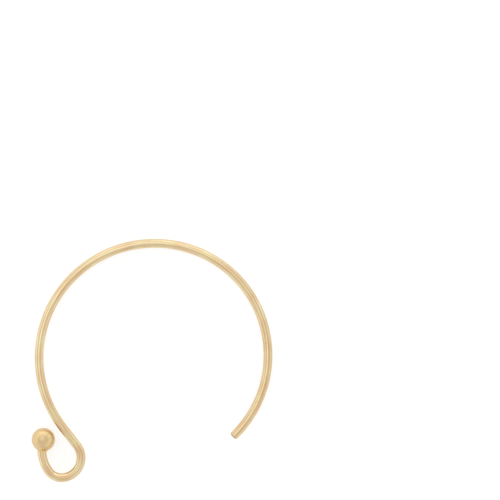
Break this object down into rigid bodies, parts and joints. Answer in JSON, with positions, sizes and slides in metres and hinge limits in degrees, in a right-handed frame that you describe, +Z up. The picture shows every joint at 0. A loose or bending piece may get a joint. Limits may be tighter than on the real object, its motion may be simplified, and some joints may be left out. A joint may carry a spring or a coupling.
{
  "type": "ear wire",
  "caption": "Open round hoop of jeweller's wire that goes through a pierced ear, with a small loop for a pendant closed off by a soldered ball.",
  "frame": {"origin": "middle of the underside of the part's box, on the surface that it lies on", "axes": "+Z up from the surface; +Y towards the crown of the hoop; +X towards the free cut tip, with the pendant loop and ball on the -X side"},
  "size_m": [0.0204, 0.0206, 0.002],
  "materials": {
    "gold_filled_wire": "drawn round wire with a layer of 14 karat gold over brass, bright but not mirror polished, ball burnished"
  },
  "bodies": {
    "root": {"ear_wire": "gold_filled_wire"}
  },
  "joints": []
}
